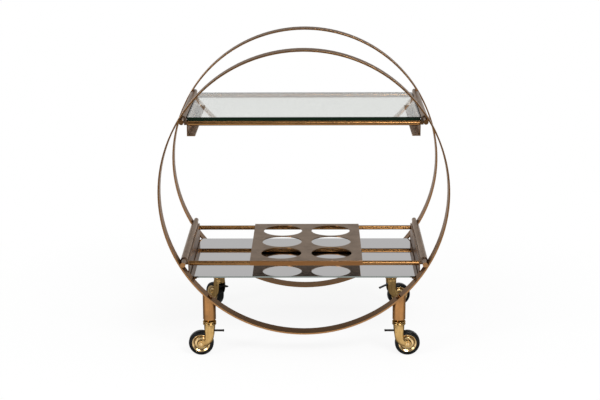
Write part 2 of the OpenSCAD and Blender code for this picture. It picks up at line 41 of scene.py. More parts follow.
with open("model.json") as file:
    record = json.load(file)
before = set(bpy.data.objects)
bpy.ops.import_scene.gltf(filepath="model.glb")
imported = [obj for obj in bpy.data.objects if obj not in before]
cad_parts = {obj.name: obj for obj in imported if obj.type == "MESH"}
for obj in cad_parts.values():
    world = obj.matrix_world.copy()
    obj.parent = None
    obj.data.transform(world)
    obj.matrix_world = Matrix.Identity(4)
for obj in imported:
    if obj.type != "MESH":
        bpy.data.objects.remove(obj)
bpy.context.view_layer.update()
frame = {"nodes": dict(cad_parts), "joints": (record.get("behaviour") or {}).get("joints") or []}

MM = 0.001
CORNERS = ("front_left", "front_right", "rear_left", "rear_right")
HOOP_LOW, HOOP_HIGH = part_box("front_hoop")
HOOP_RADIUS = (HOOP_HIGH.x - HOOP_LOW.x) / 2
HOOP_CENTRE_Z = (HOOP_HIGH.z + HOOP_LOW.z) / 2
SIDE_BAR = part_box("rod_upper_left")
MIDDLE_Y = (SIDE_BAR[0].y + SIDE_BAR[1].y) / 2
JOINTS = {joint["name"]: joint for joint in frame["joints"]}

GLASS_IOR = 1.52
BRUSH_STROKE = 60  # length of a brush line, counted in its spacings
BUFFED_LENGTH = 6  # length of a buffed ripple, counted in its widths
LOOK_ROUND = 8  # looks round a point for its edges and nooks
SAME_CORNER = 1e-6  # corners of a mesh closer than this, in metres, are joined
SHARP = math.radians(40)  # edges that turn more than this are rounded
TURNED_SHARP = math.radians(50)  # steps that turn more than this stay crisp on turned pieces

# The studio, in metres from its middle, and in brightness where white is 1
FLOOR_REACH = 60
FADE = (0.35, 1.3)  # the floor's shadow fades out between these distances
WHITE_UNDER = 0.88  # white that hides the shadow right under the trolley
# Metal sees the paper floor as a painted glow: dark far ahead, a painted band of lamp light in
# front, painted shadow under the trolley, lighter again behind
PAPER_AHEAD = (-1.8, -0.9)  # the paper's front end, dark in metal
PAPER_DARK = 0.15
PAPER_BAND = (-0.235, -0.32)  # where the painted band of lamp light on it starts, before the front casters
PAPER_LIT = 1.25
PAPER_BEHIND = (0.5, 1.4)  # where it grows light again behind
# Brightness of the painted shadow under the trolley
PAPER_DIM = 0.33
WALLS = (-0.5, 0.6)  # from the wall in front to the wall behind, as a direction's Y
WALL_AHEAD = 0.2
WALL_BEHIND = 0.62
HORIZON = (0.16, 0.0)  # the walls' foot, as a direction's Z
WALL_FOOT = 0.95


def linear(code):
    """Turns an sRGB hex colour into linear red, green and blue."""
    parts = [int(code[i : i + 2], 16) / 255 for i in (1, 3, 5)]
    return tuple(
        c / 12.92 if c <= 0.04045 else ((c + 0.055) / 1.055) ** 2.4 for c in parts
    )


def colour(label, note, code):
    """A colour setting with its default given in hex."""
    return bpy.props.FloatVectorProperty(
        name=label,
        description=note,
        default=linear(code),
        subtype="COLOR",
        size=3,
        min=0,
        max=1,
    )


def length(label, note, default):
    """A length setting in metres."""
    return bpy.props.FloatProperty(
        name=label, description=note, default=default, min=0, unit="LENGTH", precision=5
    )


class TrolleyColours(bpy.types.PropertyGroup):
    hoop: colour("Hoop brass", "Broad faces of the hoops", "#7d5f45")
    bronze: colour("Aged brass", "Sleeves, rods and rack", "#9b8674")
    angle: colour("Angle brass", "Angle rails under the side bars", "#8a6d56")
    tarnish: colour("Tarnish", "Darker clouds in the aged brass", "#55412f")
    # Painted light: faces that look to the front or back take this lighter gold, standing in for
    # the highlight on them
    cut: colour("Cut brass", "Front and back edges of the hoops and angle rails", "#a0754c")
    # Painted shade: the rack's lips are the same sheet, painted darker for how light falls on them
    painted_lip_shade: colour("Lip brass", "Turned-down lips of the rack", "#84582e")
    # Also paints a highlight along rounded edges, besides rubbed-through wear
    rubbed: colour("Rubbed brass", "Corners where the ageing is rubbed through", "#cda468")
    tube: colour("Drawn brass", "Cross rails and rod ends", "#9a7044")
    leg: colour("Leg brass", "Legs under the hoops", "#b4814f")
    cast: colour("Cast brass", "Caster horns and stems", "#bd9a60")
    turned: colour("Turned brass", "Wheel centres and axles", "#e8c78f")
    # Real lacquer brown; darkened near to black it also paints shade into grooves and corners
    lacquer_and_painted_shade: colour("Aged lacquer", "Brown left in the casting's hollows", "#8a6431")
    silver: colour("Silvering", "Mirror shelf", "#cac8c8")
    mirror_edge: colour("Mirror edge", "Cut edges of the mirror", "#747b77")
    glass: colour("Float glass", "Tint of the glass faces", "#f2f0ef")
    glass_edge: colour("Glass edge", "Ground edges of the glass", "#05180a")
    glass_depth: colour("Glass depth", "Colour of a long way through the glass", "#00b478")
    glass_shade: colour("Glass shade", "Light that falls through the glass", "#eef7f3")
    rubber: colour("Rubber", "Tyres", "#040404")
    dust: colour("Dust", "Dust in the grain of the tyres", "#3a3a3c")
    steel: colour("Blackened steel", "Brake levers", "#100c0a")
    oil: colour("Oil brown", "Browner clouds in the blackened steel", "#241c17")
    worn_steel: colour("Worn steel", "Rubbed edges of the brake levers", "#4c443e")
    graze: colour("Grazing shine", "Aged brass seen edge on", "#e2deda")
    hoop_graze: colour("Hoop grazing shine", "Hoops seen edge on", "#d4c8be")
    cast_graze: colour("Cast grazing shine", "Polished brass seen edge on", "#cdb48e")
    floor: colour("Floor", "Studio floor", "#f7f7f7")


class TrolleySizes(bpy.types.PropertyGroup):
    edge: length("Edge", "Rounding of cut metal edges", 0.45 * MM)
    fine_edge: length("Fine edge", "Rounding of thin sheet and small parts", 0.2 * MM)
    arris: length("Arris", "Ground chamfer round the glass", 0.7 * MM)
    cloud: length("Tarnish cloud", "Width of one cloud of tarnish", 34 * MM)
    brush: length("Brush line", "Distance between brush lines, drawn coarser than real", 1.1 * MM)
    pit: length("Casting pit", "Size of the ripples left in a polished casting", 5 * MM)
    mirror_bow: length("Mirror bow", "Rise of the mirror's bow over its width", 0.25 * MM)
    tread: length("Tread grain", "Grain of the moulded rubber", 0.6 * MM)
    smear: length("Polish smear", "Width of one smear left by polishing", 11 * MM)
    # Reach of the painted shade out of grooves and corners
    nook: length("Nook", "Reach of the old lacquer out of grooves and corners", 3 * MM)
    tool_mark: length("Tool mark", "Distance between lathe marks, coarser than real", 0.5 * MM)
    grind: length("Grind", "Grain of the ground glass edges", 0.8 * MM)
    haze: length("Haze", "Width of one cloud of haze on the mirror", 60 * MM)
    oil: length("Oil cloud", "Width of one cloud in the blackened steel", 6 * MM)


class TrolleyStudio(bpy.types.PropertyGroup):
    lens: bpy.props.FloatProperty(
        name="Lens", description="Focal length on a 36 mm sensor", default=90, unit="CAMERA"
    )
    place: bpy.props.FloatVectorProperty(
        name="Camera place",
        description="Where the camera stands",
        default=(0.0297, MIDDLE_Y - 3.9023, 1.3414),
        subtype="XYZ",
        unit="LENGTH",
    )
    pitch: bpy.props.FloatProperty(
        name="Pitch", description="Tilt down", default=math.radians(14.076), unit="ROTATION"
    )
    yaw: bpy.props.FloatProperty(
        name="Yaw", description="Turn to the right", default=math.radians(-0.609), unit="ROTATION"
    )
    roll: bpy.props.FloatProperty(
        name="Roll",
        description="Turn about the view",
        default=math.radians(-0.229),
        unit="ROTATION",
    )
    room: bpy.props.FloatProperty(
        name="Room light", description="Even light from the white room", default=0.55, min=0
    )
    key: bpy.props.FloatProperty(
        name="Key lamp", description="Large soft lamp, front right", default=95, unit="POWER"
    )
    fill: bpy.props.FloatProperty(
        name="Fill lamp", description="Soft lamp, front left", default=45, unit="POWER"
    )


def add(tree, kind, inputs=None, **settings):
    """Adds one shader node, sets its properties, then fills or joins its inputs."""
    made = tree.nodes.new(kind)
    for name, value in settings.items():
        setattr(made, name, value)
    for socket, value in (inputs or {}).items():
        if isinstance(value, bpy.types.NodeSocket):
            tree.links.new(value, made.inputs[socket])
        else:
            made.inputs[socket].default_value = value
    return made


def rgba(value):
    return (*value[:3], 1.0)


def new_material(name):
    """An empty material with its output node."""
    made = bpy.data.materials.new(name)
    made.use_nodes = True
    made.node_tree.nodes.clear()
    out = add(made.node_tree, "ShaderNodeOutputMaterial")
    return made, made.node_tree, out


def surface(tree, out, look):
    """Ends a material with one Principled surface."""
    skin = add(tree, "ShaderNodeBsdfPrincipled", look)
    tree.links.new(skin.outputs[0], out.inputs["Surface"])


def maths(tree, operation, first, second=0.0, clamp=False):
    """A sum on one or two values."""
    return add(
        tree, "ShaderNodeMath", {0: first, 1: second}, operation=operation, use_clamp=clamp
    ).outputs[0]


def ramp(tree, value, start, end, low=0.0, high=1.0, **settings):
    """Goes from low to high while the value goes from start to end, and stays level beyond."""
    span = {"Value": value, "From Min": start, "From Max": end, "To Min": low, "To Max": high}
    return add(tree, "ShaderNodeMapRange", span, **settings).outputs[0]


def blend(tree, factor, first, second):
    """The first number where the factor is 0 and the second where it is 1."""
    return add(tree, "ShaderNodeMix", {0: factor, 2: first, 3: second}).outputs[0]


def mix(tree, amount, first, second):
    """Mixes two colours."""
    made = add(tree, "ShaderNodeMix", {"Factor": amount}, data_type="RGBA", clamp_factor=True)
    for slot, value in ((6, first), (7, second)):
        if isinstance(value, bpy.types.NodeSocket):
            tree.links.new(value, made.inputs[slot])
        else:
            made.inputs[slot].default_value = rgba(value)
    return made.outputs[2]


def noise(tree, where, scale, detail, roughness=0.5):
    """Cloudy noise from 0 to 1."""
    grain = {"Vector": where, "Scale": scale, "Detail": detail, "Roughness": roughness}
    return add(tree, "ShaderNodeTexNoise", grain).outputs["Fac"]


def bumped(tree, height, strength, distance):
    """A surface normal that follows a height."""
    relief = {"Height": height, "Strength": strength, "Distance": distance}
    return add(tree, "ShaderNodeBump", relief).outputs[0]


def apart(tree, vector):
    """The X, Y and Z of a vector."""
    return add(tree, "ShaderNodeSeparateXYZ", {"Vector": vector}).outputs


def size_of(tree, vector):
    """The length of a vector."""
    made = add(tree, "ShaderNodeVectorMath", {0: vector}, operation="LENGTH")
    return made.outputs["Value"]


def brush_way(tree, run, spacing):
    """Coordinates counted in brush lines, drawn out along the way of the brush."""
    where = add(tree, "ShaderNodeTexCoord").outputs["Object"]
    if run == "HOOP":
        place = apart(tree, where)
        up = maths(tree, "SUBTRACT", place["Z"], HOOP_CENTRE_Z)
        turn = maths(tree, "ARCTAN2", up, place["X"])
        along = maths(tree, "MULTIPLY", turn, HOOP_RADIUS)
        bent = {"X": along, "Y": place["Y"], "Z": place["Z"]}
        where = add(tree, "ShaderNodeCombineXYZ", bent).outputs[0]
        run = "X"
    per_line = 1 / spacing
    scale = [per_line] * 3
    scale["XYZ".index(run)] = per_line / BRUSH_STROKE
    if run == "X":
        # Bars and sheet that run across are brushed more coarsely over their height
        scale[2] = per_line / 2
    return add(tree, "ShaderNodeMapping", {"Vector": where, "Scale": scale}).outputs[0]


def edge_mask(tree, width, strength):
    """Full on rounded edges and 0 on open faces, found from how far a rounded normal turns."""
    soft = add(tree, "ShaderNodeBevel", {"Radius": width}, samples=LOOK_ROUND)
    true = add(tree, "ShaderNodeNewGeometry")
    match = add(
        tree,
        "ShaderNodeVectorMath",
        {0: soft.outputs[0], 1: true.outputs["Normal"]},
        operation="DOT_PRODUCT",
    )
    return ramp(tree, match.outputs["Value"], 0.995, 0.9, 0.0, strength)


def shade_nooks(tree, base, hollow, first, full, darkness):
    """Paints shade into grooves and inner corners, darkening from a first shade to the full one as
    they close.
    """
    reach = bpy.context.scene.trolley_sizes.nook
    nook = add(tree, "ShaderNodeAmbientOcclusion", {"Distance": reach}, samples=LOOK_ROUND)
    deep = ramp(tree, nook.outputs["AO"], first, full, 0.0, 0.95)
    return mix(tree, deep, base, tuple(darkness * c for c in hollow))


def aged_brass(name, run, face, rough, cut=None, painted_facing_amount=0.9, edge_wear_and_highlight=0.0, under=0.0,
               graze=None, cloudy=0.4, grooved=0.22):
    """Brass bar, sheet or tube, brushed along its length, aged brown and lacquered.
    The brown is cloudy and the brush lines break up the shine. Rounded edges are painted light
    gold, as rubbed-through wear and as a painted highlight; faces that look to the front or back
    are painted another colour for how light falls on them, and the underside is painted darker as
    shade."""
    made, tree, out = new_material(name)
    sizes = bpy.context.scene.trolley_sizes
    tones = bpy.context.scene.trolley_colours
    where = add(tree, "ShaderNodeTexCoord").outputs
    clouds = noise(tree, where["Object"], 1 / sizes.cloud, 3, 0.55)
    base = mix(tree, ramp(tree, clouds, 0.4, 0.7, 0.0, cloudy), face, tones.tarnish)
    lines = noise(tree, brush_way(tree, run, sizes.brush), 1.0, 2, 0.6)
    base = mix(tree, ramp(tree, lines, 0.3, 0.75, 0.0, 0.16), base, tones.tarnish)
    facing = apart(tree, where["Normal"])
    if under:
        # Faces turned down are painted darker: painted shade on the underside
        down = ramp(tree, facing["Z"], -0.6, -0.95, 0.0, under)
        base = mix(tree, down, base, tones.tarnish)
    # Faces that look to the front or back are painted another colour for how the light falls on
    # them: painted light
    if cut:
        across = maths(tree, "ABSOLUTE", facing["Y"])
        base = mix(tree, ramp(tree, across, 0.6, 0.95, 0.0, painted_facing_amount), base, cut)
    # Rounded edges are painted light gold: rubbed-through wear and a painted highlight along the
    # edge
    if edge_wear_and_highlight:
        base = mix(tree, edge_mask(tree, sizes.edge * 2, edge_wear_and_highlight), base, tones.rubbed)
    surface(
        tree,
        out,
        {
            "Base Color": base,
            "Metallic": 1.0,
            "Roughness": ramp(tree, lines, 0.25, 0.8, rough - 0.05, rough + 0.09),
            "Specular Tint": rgba(graze or tones.graze),
            "Normal": bumped(tree, lines, grooved, 0.06 * MM),
        },
    )
    return made


def polished_brass(name, face, hollow, rough):
    """Cast brass, buffed lengthwise and lacquered: bright, with long soft ripples where the
    buffing wheel ran, lacquer brown in the ripples and painted shade darkening its grooves and
    inner corners."""
    made, tree, out = new_material(name)
    sizes = bpy.context.scene.trolley_sizes
    tones = bpy.context.scene.trolley_colours
    where = add(tree, "ShaderNodeTexCoord").outputs["Object"]
    per_pit = 1 / sizes.pit
    stretched = (per_pit, per_pit, per_pit / BUFFED_LENGTH)
    buffed = add(tree, "ShaderNodeMapping", {"Vector": where, "Scale": stretched})
    ripple = noise(tree, buffed.outputs[0], 1.0, 3)
    base = mix(tree, ramp(tree, ripple, 0.4, 0.65, 0.0, 0.45), face, hollow)
    # Painted shade, near black, in grooves and inner corners
    base = shade_nooks(tree, base, hollow, 0.75, 0.35, 0.12)
    smear = noise(tree, where, 1 / sizes.smear, 4, 0.65)
    surface(
        tree,
        out,
        {
            "Base Color": base,
            "Metallic": 1.0,
            "Roughness": ramp(tree, smear, 0.3, 0.75, rough - 0.04, rough + 0.1),
            "Specular Tint": rgba(tones.cast_graze),
            "Normal": bumped(tree, ripple, 0.5, 0.4 * MM),
            "Coat Weight": 0.25,
            "Coat Roughness": 0.08,
        },
    )
    return made


def turned_brass(name, face, hollow, rough):
    """Brass turned on a lathe: fine rings round its own Y axis, lacquer, and painted shade in its
    grooves and inner corners.
    """
    made, tree, out = new_material(name)
    sizes = bpy.context.scene.trolley_sizes
    place = apart(tree, add(tree, "ShaderNodeTexCoord").outputs["Object"])
    flat = add(tree, "ShaderNodeCombineXYZ", {"X": place["X"], "Z": place["Z"]})
    mark = maths(tree, "MULTIPLY", size_of(tree, flat.outputs[0]), 1 / sizes.tool_mark)
    rings = add(
        tree,
        "ShaderNodeTexNoise",
        {"W": mark, "Scale": 1.0, "Detail": 2},
        noise_dimensions="1D",
    ).outputs["Fac"]
    base = mix(tree, ramp(tree, rings, 0.4, 0.8, 0.0, 0.45), face, hollow)
    # Painted shade, near black, in grooves and inner corners
    base = shade_nooks(tree, base, hollow, 0.85, 0.4, 0.2)
    surface(
        tree,
        out,
        {
            "Base Color": base,
            "Metallic": 1.0,
            "Roughness": rough,
            "Normal": bumped(tree, rings, 0.3, 0.08 * MM),
            "Coat Weight": 0.3,
            "Coat Roughness": 0.1,
        },
    )
    return made


def float_glass(name, tint, edge, depth, shade):
    """Clear float glass with ground edges: colourless through its thickness, dark green end on."""
    made, tree, out = new_material(name)
    sizes = bpy.context.scene.trolley_sizes
    where = add(tree, "ShaderNodeTexCoord").outputs
    upright = maths(tree, "ABSOLUTE", apart(tree, where["Normal"])["Z"])
    side = ramp(tree, upright, 0.95, 0.5)
    grind = noise(tree, where["Object"], 1 / sizes.grind, 2)
    glass = add(
        tree,
        "ShaderNodeBsdfPrincipled",
        {
            "Base Color": mix(tree, side, tint, edge),
            # The broad faces are smooth as a mirror and the ground edges a little dull
            "Roughness": ramp(tree, side, 0.0, 1.0, 0.0, 0.12),
            "IOR": GLASS_IOR,
            "Transmission Weight": ramp(tree, side, 0.0, 1.0, 1.0, 0.12),
            "Normal": bumped(tree, grind, 0.02, 0.02 * MM),
        },
    )
    # Light that falls through the glass reaches what stands under it
    path = add(tree, "ShaderNodeLightPath").outputs
    through = maths(tree, "MAXIMUM", path["Is Shadow Ray"], path["Is Diffuse Ray"])
    clear = add(tree, "ShaderNodeBsdfTransparent", {"Color": rgba(shade)})
    both = add(
        tree, "ShaderNodeMixShader", {0: through, 1: glass.outputs[0], 2: clear.outputs[0]}
    )
    tree.links.new(both.outputs[0], out.inputs["Surface"])
    green = add(tree, "ShaderNodeVolumeAbsorption", {"Color": rgba(depth), "Density": 5.0})
    tree.links.new(green.outputs[0], out.inputs["Volume"])
    return made


def silvered_glass(name, silver, edge):
    """Mirror glass silvered underneath: a clean grey reflection, and greenish cut edges."""
    made, tree, out = new_material(name)
    sizes = bpy.context.scene.trolley_sizes
    where = add(tree, "ShaderNodeTexCoord").outputs
    upright = maths(tree, "ABSOLUTE", apart(tree, where["Normal"])["Z"])
    side = ramp(tree, upright, 0.9, 0.4)
    # The sheet sags a little between its rails, which bends what it reflects
    low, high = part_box("mirror_shelf")
    wide, deep = high.x - low.x, high.y - low.y
    across = add(
        tree,
        "ShaderNodeMapping",
        {
            "Vector": where["Object"],
            "Location": (0, -MIDDLE_Y / deep, 0),
            "Scale": (1 / wide, 1 / deep, 0),
        },
    )
    bowl = maths(tree, "POWER", size_of(tree, across.outputs[0]), 2.0)
    haze = noise(tree, where["Object"], 1 / sizes.haze, 4)
    surface(
        tree,
        out,
        {
            "Base Color": mix(tree, side, silver, edge),
            "Metallic": 1.0,
            "Roughness": ramp(tree, haze, 0.35, 0.75, 0.015, 0.05),
            # The bowl rises to a quarter at the sheet's sides
            "Normal": bumped(tree, bowl, 1.0, 4 * sizes.mirror_bow),
            "Coat Weight": 0.5,
            "Coat Roughness": 0.0,
            "Coat IOR": GLASS_IOR,
        },
    )
    return made


def moulded_rubber(name, black, dusty):
    """Moulded rubber: near black, half dull, with a fine grain and grey dust in the grain."""
    made, tree, out = new_material(name)
    sizes = bpy.context.scene.trolley_sizes
    where = add(tree, "ShaderNodeTexCoord").outputs["Object"]
    grain = noise(tree, where, 1 / sizes.tread, 3, 0.6)
    surface(
        tree,
        out,
        {
            "Base Color": mix(tree, ramp(tree, grain, 0.5, 0.85, 0.0, 0.08), black, dusty),
            "Metallic": 0.0,
            "Roughness": ramp(tree, grain, 0.0, 1.0, 0.2, 0.36),
            "Specular IOR Level": 0.22,
            "Normal": bumped(tree, grain, 0.15, 0.05 * MM),
        },
    )
    return made


def blackened_steel(name, black, brown, worn):
    """Pressed steel, oil-blackened: dark brown black, half shiny, rubbed grey along its edges."""
    made, tree, out = new_material(name)
    sizes = bpy.context.scene.trolley_sizes
    where = add(tree, "ShaderNodeTexCoord").outputs["Object"]
    cloud = noise(tree, where, 1 / sizes.oil, 4, 0.6)
    base = mix(tree, ramp(tree, cloud, 0.4, 0.75, 0.0, 0.5), black, brown)
    base = mix(tree, edge_mask(tree, sizes.fine_edge * 3, 0.5), base, worn)
    surface(tree, out, {"Base Color": base, "Metallic": 0.75, "Roughness": 0.36})
    return made


def dress(name, material, edge=0.0, segments=2):
    """Gives a CAD piece its material and, where it has an edge width, rounded sharp edges with
    flat faces still shaded flat."""
    piece = frame["nodes"][name]
    piece.data.materials.clear()
    piece.data.materials.append(material)
    if edge:
        weld = piece.modifiers.new("join", "WELD")
        weld.merge_threshold = SAME_CORNER
        bevel = piece.modifiers.new("edges", "BEVEL")
        bevel.width = edge
        bevel.segments = segments
        bevel.limit_method = "ANGLE"
        bevel.angle_limit = SHARP
        level = piece.modifiers.new("normals", "WEIGHTED_NORMAL")
        level.mode = "FACE_AREA_WITH_ANGLE"
        level.weight = 100
        level.keep_sharp = True
    return piece


def rounded(points, radius, steps=3):
    """A closed outline with each corner replaced by a small arc."""
    made = []
    count = len(points)
    for i, here in enumerate(points):
        here = Vector(here)
        before, after = Vector(points[i - 1]), Vector(points[(i + 1) % count])
        a, b = (before - here), (after - here)
        cut = min(radius, a.length * 0.45, b.length * 0.45)
        start, end = here + a.normalized() * cut, here + b.normalized() * cut
        for k in range(steps + 1):
            t = k / steps
            made.append((1 - t) ** 2 * start + 2 * t * (1 - t) * here + t**2 * end)
    return made


def lathe(name, outline, place, axis, material, sides=144):
    """Turns a closed outline of (radius, height along the axle) round its axle."""
    mesh = bpy.data.meshes.new(name)
    work = bmesh.new()
    rings = []
    for k in range(sides):
        a = 2 * math.pi * k / sides
        rings.append(
            [work.verts.new((p[0] * math.cos(a), p[1], p[0] * math.sin(a))) for p in outline]
        )
    for k in range(sides):
        one, two = rings[k], rings[(k + 1) % sides]
        for i in range(len(outline)):
            j = (i + 1) % len(outline)
            work.faces.new((one[i], one[j], two[j], two[i]))
    bmesh.ops.recalc_face_normals(work, faces=work.faces)
    for face in work.faces:
        face.smooth = True
    work.to_mesh(mesh)
    work.free()
    mesh.set_sharp_from_angle(angle=TURNED_SHARP)
    mesh.materials.append(material)
    piece = bpy.data.objects.new(name, mesh)
    bpy.context.scene.collection.objects.link(piece)
    turn = Vector((0, 1, 0)).rotation_difference(Vector(axis))
    piece.matrix_world = Matrix.Translation(Vector(place)) @ turn.to_matrix().to_4x4()
    return piece


def mirrored(half):
    """Completes half an outline on the side of negative height."""
    return half + [(r, -y) for r, y in reversed(half)]


class TROLLEY_OT_hoops(bpy.types.Operator):
    """Dress the two flat-bar hoops in aged brass"""

    bl_idname = "trolley.hoops"
    bl_label = "Hoops"

    def execute(self, context):
        tones = context.scene.trolley_colours
        # Front and back faces are painted lighter gold, and rounded edges painted light as
        # highlight and wear
        bar = aged_brass(
            "aged_brass_flat_bar", "HOOP", tones.hoop, rough=0.3, cut=tones.cut, edge_wear_and_highlight=0.35,
            graze=tones.hoop_graze,
        )
        for name in ("front_hoop", "rear_hoop"):
            dress(name, bar, context.scene.trolley_sizes.edge)
        return {"FINISHED"}


class TROLLEY_OT_side_bars(bpy.types.Operator):
    """Dress the side bars: rods with rubbed ends inside aged sleeves"""

    bl_idname = "trolley.side_bars"
    bl_label = "Side bars"

    def execute(self, context):
        tones = context.scene.trolley_colours
        sleeve = aged_brass("aged_brass_tube", "Y", tones.bronze, rough=0.3)
        # The rods' end faces take the cut colour as painted light
        rod = aged_brass(
            "drawn_brass_rod", "Y", tones.bronze, rough=0.26, cut=tones.cut, painted_facing_amount=1.0
        )
        for level in ("upper", "lower"):
            for side in ("left", "right"):
                dress(f"sleeve_{level}_{side}", sleeve)
                dress(f"rod_{level}_{side}", rod, context.scene.trolley_sizes.edge)
        return {"FINISHED"}


class TROLLEY_OT_shelf_frames(bpy.types.Operator):
    """Dress the angle rails and the round cross rails"""

    bl_idname = "trolley.shelf_frames"
    bl_label = "Shelf frames"

    def execute(self, context):
        tones = context.scene.trolley_colours
        # Angle ends take half the cut colour as painted light; edges are painted light as
        # highlight and wear
        angle = aged_brass(
            "aged_brass_angle", "Y", tones.angle, rough=0.32, cut=tones.cut, painted_facing_amount=0.5,
            edge_wear_and_highlight=0.4,
        )
        rail = aged_brass(
            "drawn_brass_rail", "X", tones.tube, rough=0.24, cloudy=0.2, grooved=0.07
        )
        for level in ("upper", "lower"):
            for side in ("left", "right"):
                dress(f"angle_{level}_{side}", angle, context.scene.trolley_sizes.fine_edge)
            for end in ("front", "rear"):
                dress(f"rail_{level}_{end}", rail)
        return {"FINISHED"}


class TROLLEY_OT_glass_top(bpy.types.Operator):
    """Dress the glass top, with its ground edges"""

    bl_idname = "trolley.glass_top"
    bl_label = "Glass top"

    def execute(self, context):
        tones = context.scene.trolley_colours
        glass = float_glass(
            "float_glass_ground_edge", tones.glass, tones.glass_edge, tones.glass_depth,
            tones.glass_shade,
        )
        dress("glass_top", glass, context.scene.trolley_sizes.arris, segments=1)
        return {"FINISHED"}


class TROLLEY_OT_mirror_shelf(bpy.types.Operator):
    """Dress the mirror shelf"""

    bl_idname = "trolley.mirror_shelf"
    bl_label = "Mirror shelf"

    def execute(self, context):
        tones = context.scene.trolley_colours
        silver = silvered_glass("silvered_mirror_glass", tones.silver, tones.mirror_edge)
        dress("mirror_shelf", silver, context.scene.trolley_sizes.fine_edge)
        return {"FINISHED"}


class TROLLEY_OT_bottle_rack(bpy.types.Operator):
    """Dress the pierced bottle rack"""

    bl_idname = "trolley.bottle_rack"
    bl_label = "Bottle rack"

    def execute(self, context):
        tones = context.scene.trolley_colours
        # The rack's lips and underside carry painted shade, and its edges a painted highlight
        # besides wear
        sheet = aged_brass(
            "aged_brass_sheet", "X", tones.bronze, rough=0.3, cut=tones.painted_lip_shade, edge_wear_and_highlight=0.6,
            under=0.6,
        )
        dress("bottle_rack", sheet, context.scene.trolley_sizes.fine_edge)
        return {"FINISHED"}


class TROLLEY_OT_legs(bpy.types.Operator):
    """Dress the four legs"""

    bl_idname = "trolley.legs"
    bl_label = "Legs"

    def execute(self, context):
        tones = context.scene.trolley_colours
        tube = aged_brass("brushed_brass_leg", "Z", tones.leg, rough=0.34)
        for corner in CORNERS:
            dress(f"leg_{corner}", tube, context.scene.trolley_sizes.edge)
        return {"FINISHED"}


class TROLLEY_OT_casters(bpy.types.Operator):
    """Dress the caster stems, horns, axles and brake pins"""

    bl_idname = "trolley.casters"
    bl_label = "Caster horns"

    def execute(self, context):
        tones = context.scene.trolley_colours
        sizes = context.scene.trolley_sizes
        # Horns, stems, axles and pins carry painted shade in their grooves and corners
        cast = polished_brass("polished_cast_brass", tones.cast, tones.lacquer_and_painted_shade, 0.17)
        turned = polished_brass("polished_turned_brass", tones.cast, tones.lacquer_and_painted_shade, 0.13)
        # The axle heads take the paler turned brass, which also paints in the bright highlight at
        # the wheels' centres
        axle_with_painted_highlight = polished_brass("polished_brass_axle", tones.turned, tones.lacquer_and_painted_shade, 0.22)
        for corner in CORNERS:
            dress(f"horn_{corner}", cast)
            dress(f"stem_{corner}", turned)
            dress(f"axle_{corner}", axle_with_painted_highlight, 2.5 * sizes.fine_edge)
            dress(f"brake_pin_{corner}", turned, sizes.fine_edge)
        return {"FINISHED"}


class TROLLEY_OT_wheels(bpy.types.Operator):
    """Turn the brass wheel centres and the moulded tyres"""

    bl_idname = "trolley.wheels"
    bl_label = "Wheels"

    def execute(self, context):
        tones = context.scene.trolley_colours
        # The wheel centres carry painted shade in their grooves
        brass = turned_brass("turned_brass_wheel_centre", tones.turned, tones.lacquer_and_painted_shade, 0.2)
        rubber = moulded_rubber("moulded_rubber_tyre", tones.rubber, tones.dust)
        # Half outlines in millimetres: radius, then height from the middle of the wheel
        centre = [
            (3.05, 10.5), (7.2, 10.5), (7.6, 7.4), (9.4, 7.4), (9.8, 8.7), (11.2, 9.4),
            (15.6, 8.4), (16.2, 8.0), (16.6, 5.8), (17.8, 5.8), (18.2, 7.5), (22.3, 10.0),
            (23.0, 10.1), (23.5, 9.4),
        ]
        tyre = [
            (23.58, 9.7), (24.2, 10.0), (26.3, 10.0), (26.6, 9.6), (27.3, 9.6), (27.6, 10.0),
            (28.6, 9.97), (30.5, 9.2), (31.8, 7.8), (32.35, 5.6), (32.4, 0.9), (32.5, 0.6),
        ]
        for corner in CORNERS:
            spin = JOINTS[f"wheel_spin_{corner}"]
            for kind, half, curve, material, slot in (
                ("hub", centre, 0.35, brass, "bright_brass"),
                ("tyre", tyre, 0.5, rubber, "tyre_rubber"),
            ):
                outline = [p * MM for p in rounded(mirrored(half), curve)]
                piece = lathe(
                    f"turned_{kind}_{corner}", outline, spin["pos_m"], spin["axis"], material
                )
                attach(piece, f"wheel_{corner}")
                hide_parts(f"{kind}_{corner}")
        return {"FINISHED"}


class TROLLEY_OT_brakes(bpy.types.Operator):
    """Dress the brake levers"""

    bl_idname = "trolley.brakes"
    bl_label = "Brake levers"

    def execute(self, context):
        tones = context.scene.trolley_colours
        steel = blackened_steel(
            "blackened_pressed_steel", tones.steel, tones.oil, tones.worn_steel
        )
        for corner in CORNERS:
            dress(f"brake_{corner}", steel, context.scene.trolley_sizes.fine_edge)
        return {"FINISHED"}


class TROLLEY_OT_screws(bpy.types.Operator):
    """Dress the screws"""

    bl_idname = "trolley.screws"
    bl_label = "Screws"

    def execute(self, context):
        tones = context.scene.trolley_colours
        # The screw heads carry painted shade in their slots and corners
        head = polished_brass("plated_screw_head", tones.tube, tones.tarnish, 0.28)
        for name in ("hoop_screws", "rail_screws", "leg_screws"):
            dress(name, head, context.scene.trolley_sizes.fine_edge)
        return {"FINISHED"}


